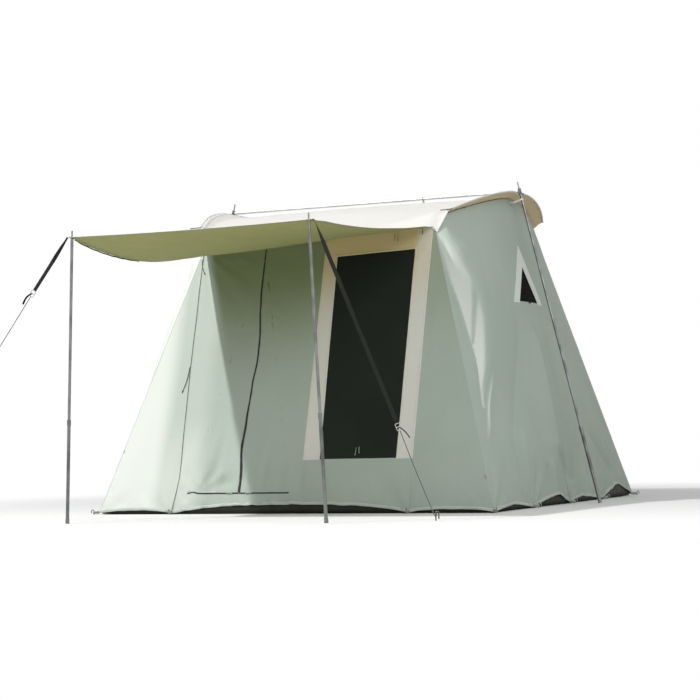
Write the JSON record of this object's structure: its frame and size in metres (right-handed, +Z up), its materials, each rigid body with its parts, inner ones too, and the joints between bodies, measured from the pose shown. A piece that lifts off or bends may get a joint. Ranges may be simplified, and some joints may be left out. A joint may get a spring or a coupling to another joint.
{
  "type": "ridge tent",
  "caption": "Square canvas ridge tent with sprung bow-rod roof hems, outside uprights, inverted-T zip door, mesh window, side vents and a porch awning on telescopic poles with guys.",
  "frame": {"origin": "on the ground at the centre of the square floor, on the underside of the groundsheet", "axes": "+Z up, X along the ridge, -Y towards the awning, the door and the window"},
  "size_m": [3.9595, 4.5121, 2.3282],
  "materials": {
    "canvas": "sage green cotton canvas, matt",
    "window_border": "cream canvas, matt",
    "mesh": "fine black insect mesh",
    "roof_canvas": "off-white coated canvas, tan inside",
    "awning_canvas": "off-white coated canvas, olive inside",
    "groundsheet": "black coated fabric, low sheen",
    "pole_steel": "grey steel tube",
    "bracket_steel": "dark grey steel",
    "spring_steel": "spring steel rod",
    "slider_metal": "nickel",
    "buckle_metal": "satin",
    "stake_steel": "galvanised",
    "webbing": "black webbing",
    "rope": "braided cord"
  },
  "bodies": {
    "tent": {"front_wall_left": "canvas", "front_wall_centre": "canvas", "front_wall_right": "canvas", "door_sill": "canvas", "side_wall_left_front": "canvas", "side_wall_left_back": "canvas", "side_wall_right_front": "canvas", "side_wall_right_back": "canvas", "back_wall": "canvas", "window_frame": "window_border", "window_mesh": "mesh", "side_vent_mesh_left": "mesh", "side_vent_mesh_right": "mesh", "roof": "roof_canvas", "awning": "awning_canvas", "groundsheet": "groundsheet", "ridge_pole_left": "pole_steel", "ridge_pole_middle": "pole_steel", "ridge_pole_right": "pole_steel", "upright_upper_left": "pole_steel", "upright_upper_right": "pole_steel", "awning_pole_upper_left": "pole_steel", "awning_pole_upper_right": "pole_steel", "ridge_bracket_left": "bracket_steel", "ridge_bracket_right": "bracket_steel", "bow_rod_front_left": "spring_steel", "bow_rod_front_right": "spring_steel", "bow_rod_back_left": "spring_steel", "bow_rod_back_right": "spring_steel", "guy_buckle_left": "buckle_metal", "guy_buckle_right": "buckle_metal", "stake_front_1": "stake_steel", "stake_front_2": "stake_steel", "stake_front_corner": "stake_steel", "stake_right_1": "stake_steel", "stake_right_2": "stake_steel", "stake_right_3": "stake_steel", "stake_right_corner": "stake_steel", "stake_back_1": "stake_steel", "stake_back_2": "stake_steel", "stake_back_corner": "stake_steel", "stake_left_1": "stake_steel", "stake_left_2": "stake_steel", "stake_left_3": "stake_steel", "stake_left_corner": "stake_steel", "guy_stake_left": "stake_steel", "guy_stake_right": "stake_steel", "guy_strap_left": "webbing", "guy_strap_right": "webbing", "guy_rope_left": "rope", "guy_rope_right": "rope"},
    "door_flap_left_body": {"door_flap_left": "canvas"},
    "door_flap_right_body": {"door_flap_right": "canvas"},
    "door_zip_slider_body": {"door_zip_slider": "slider_metal"},
    "bottom_zip_slider_left_body": {"bottom_zip_slider_left": "slider_metal"},
    "bottom_zip_slider_right_body": {"bottom_zip_slider_right": "slider_metal"},
    "upright_lower_left_body": {"upright_lower_left": "pole_steel"},
    "upright_lower_right_body": {"upright_lower_right": "pole_steel"},
    "awning_pole_lower_left_body": {"awning_pole_lower_left": "pole_steel"},
    "awning_pole_lower_right_body": {"awning_pole_lower_right": "pole_steel"}
  },
  "joints": [
    {"name": "door_flap_left_fold", "type": "hinge", "parent": "tent", "child": "door_flap_left_body", "pos_m": [-0.8, -1.46049, 0.135], "axis": [-0.2172, -0.2741, -0.9368], "range_deg": [0, 130]},
    {"name": "door_flap_right_fold", "type": "hinge", "parent": "tent", "child": "door_flap_right_body", "pos_m": [0, -1.46049, 0.135], "axis": [-0.2172, 0.2741, 0.9368], "range_deg": [0, 130]},
    {"name": "door_zip_slide", "type": "slide", "parent": "door_flap_left_body", "child": "door_zip_slider_body", "axis": [-0.0056, 0.2808, 0.9597], "range_m": [0, 1.45]},
    {"name": "bottom_zip_slide_left", "type": "slide", "parent": "door_flap_left_body", "child": "bottom_zip_slider_left_body", "axis": [-1, 0, 0], "range_m": [0, 0.24]},
    {"name": "bottom_zip_slide_right", "type": "slide", "parent": "door_flap_right_body", "child": "bottom_zip_slider_right_body", "axis": [1, 0, 0], "range_m": [0, 0.22]},
    {"name": "upright_slide_left", "type": "slide", "parent": "tent", "child": "upright_lower_left_body", "axis": [0.2339, 0, 0.9723], "range_m": [0, 0.41]},
    {"name": "upright_slide_right", "type": "slide", "parent": "tent", "child": "upright_lower_right_body", "axis": [-0.2339, 0, 0.9723], "range_m": [0, 0.41]},
    {"name": "awning_pole_slide_left", "type": "slide", "parent": "tent", "child": "awning_pole_lower_left_body", "axis": [0.0394, 0, 0.9992], "range_m": [0, 0.5]},
    {"name": "awning_pole_slide_right", "type": "slide", "parent": "tent", "child": "awning_pole_lower_right_body", "axis": [-0.0394, 0, 0.9992], "range_m": [0, 0.5]}
  ]
}
